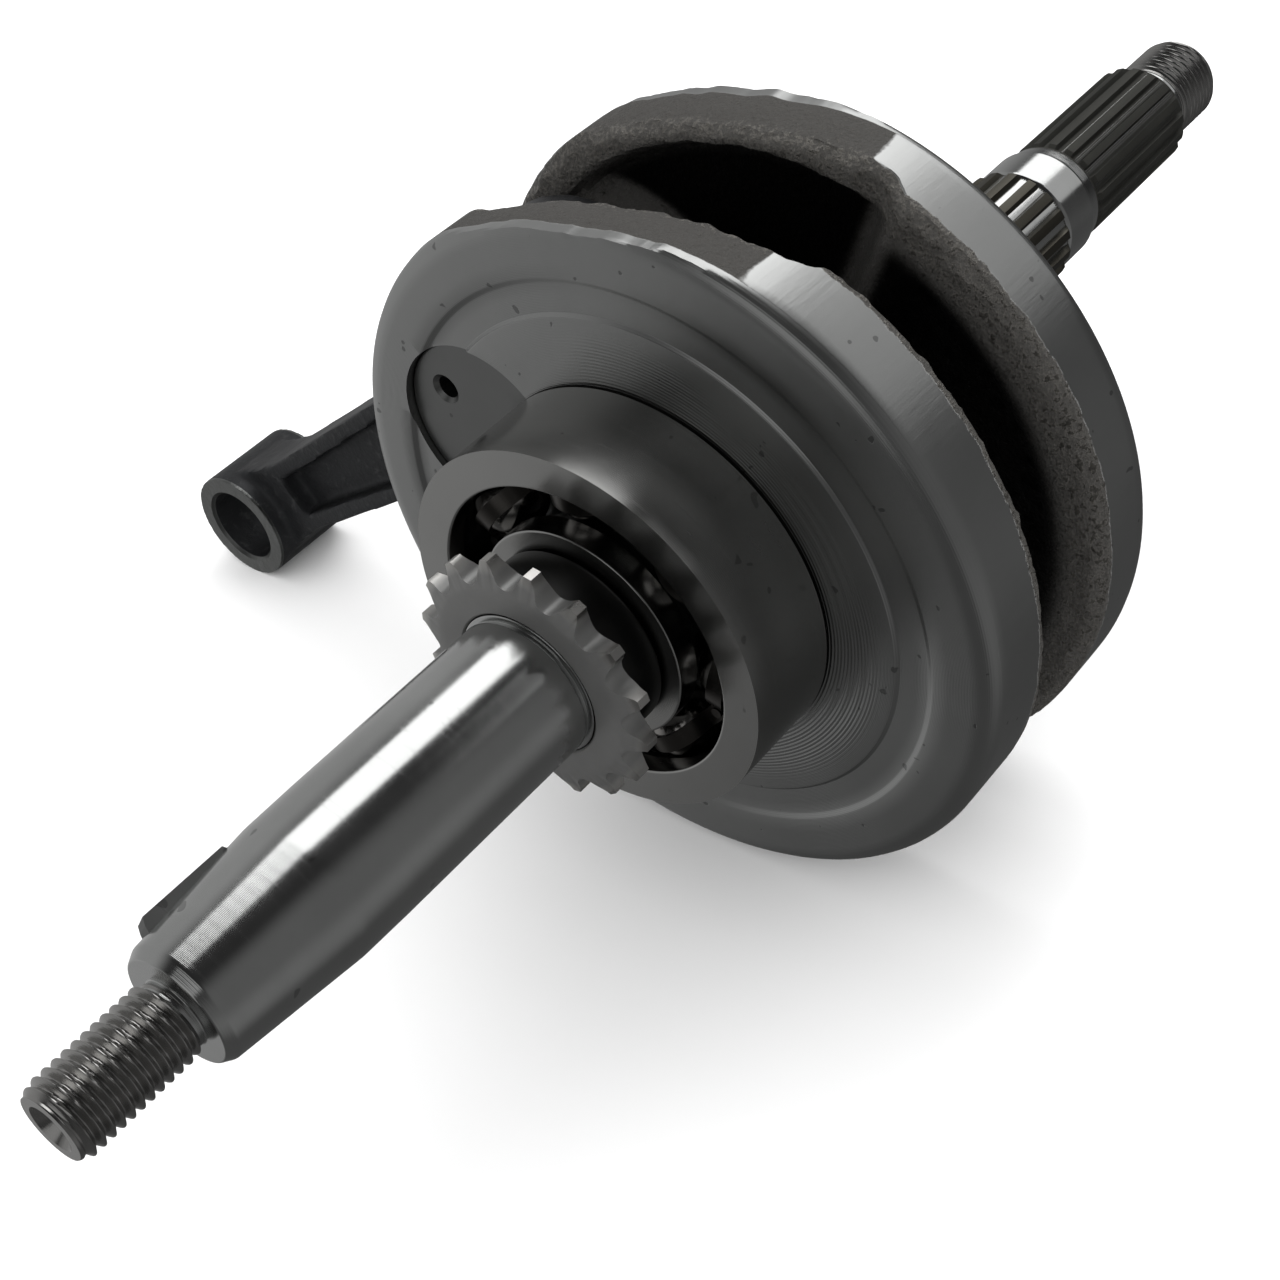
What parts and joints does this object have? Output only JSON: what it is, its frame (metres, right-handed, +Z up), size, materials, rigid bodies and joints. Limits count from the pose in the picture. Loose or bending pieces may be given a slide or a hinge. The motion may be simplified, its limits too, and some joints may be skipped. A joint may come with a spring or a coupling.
{
  "type": "crankshaft",
  "caption": "Built-up single-cylinder crankshaft with two flywheels, connecting rod, main ball bearing, timing sprocket, tapered and splined shaft ends.",
  "frame": {"origin": "on the shaft's axis, in the middle plane of the connecting rod", "axes": "+X along the shaft from the tapered end to the splined end, +Z up as it lies on its flywheels and small end"},
  "size_m": [0.2845, 0.1903, 0.1128],
  "materials": {
    "machined_steel": "turned and ground, satin",
    "ground_steel": "ground, dark satin",
    "forged_steel": "as forged, dark and rough",
    "sprocket_steel": "hardened, dark satin",
    "bearing_steel": "ground, bright",
    "cage_steel": "pressed sheet, bright"
  },
  "bodies": {
    "crank": {"left_flywheel": "machined_steel", "right_flywheel": "machined_steel", "crank_pin": "ground_steel", "pin_gallery_plug": "ground_steel", "woodruff_key": "machined_steel", "timing_sprocket": "sprocket_steel", "bearing_inner_ring": "bearing_steel", "thrust_washer_left": "ground_steel", "thrust_washer_right": "ground_steel"},
    "rod": {"connecting_rod": "forged_steel"},
    "big_end_cage": {"needle_cage": "cage_steel", "needle_roller_1": "bearing_steel", "needle_roller_2": "bearing_steel", "needle_roller_3": "bearing_steel", "needle_roller_4": "bearing_steel", "needle_roller_5": "bearing_steel", "needle_roller_6": "bearing_steel", "needle_roller_7": "bearing_steel", "needle_roller_8": "bearing_steel", "needle_roller_9": "bearing_steel", "needle_roller_10": "bearing_steel", "needle_roller_11": "bearing_steel", "needle_roller_12": "bearing_steel", "needle_roller_13": "bearing_steel", "needle_roller_14": "bearing_steel"},
    "outer_ring": {"bearing_outer_ring": "bearing_steel"},
    "ball_set": {"ball_cage_front": "cage_steel", "ball_cage_back": "cage_steel", "bearing_ball_1": "bearing_steel", "bearing_ball_2": "bearing_steel", "bearing_ball_3": "bearing_steel", "bearing_ball_4": "bearing_steel", "bearing_ball_5": "bearing_steel", "bearing_ball_6": "bearing_steel", "bearing_ball_7": "bearing_steel", "cage_rivet_1": "cage_steel", "cage_rivet_2": "cage_steel", "cage_rivet_3": "cage_steel", "cage_rivet_4": "cage_steel", "cage_rivet_5": "cage_steel", "cage_rivet_6": "cage_steel", "cage_rivet_7": "cage_steel"}
  },
  "joints": [
    {"name": "rod_swing", "type": "hinge", "parent": "crank", "child": "rod", "pos_m": [0, 0.03096, 0.01405], "axis": [1, 0, 0], "continuous": true},
    {"name": "needle_cage_turn", "type": "hinge", "parent": "crank", "child": "big_end_cage", "pos_m": [0, 0.03096, 0.01405], "axis": [1, 0, 0], "continuous": true},
    {"name": "outer_ring_turn", "type": "hinge", "parent": "crank", "child": "outer_ring", "pos_m": [-0.0315, 0, 0], "axis": [1, 0, 0], "continuous": true},
    {"name": "ball_set_turn", "type": "hinge", "parent": "crank", "child": "ball_set", "pos_m": [-0.0315, 0, 0], "axis": [1, 0, 0], "continuous": true}
  ],
  "couplings": [
    {"joint": "needle_cage_turn", "follows": "rod_swing", "ratio": 0.56},
    {"joint": "ball_set_turn", "follows": "outer_ring_turn", "ratio": 0.63}
  ]
}
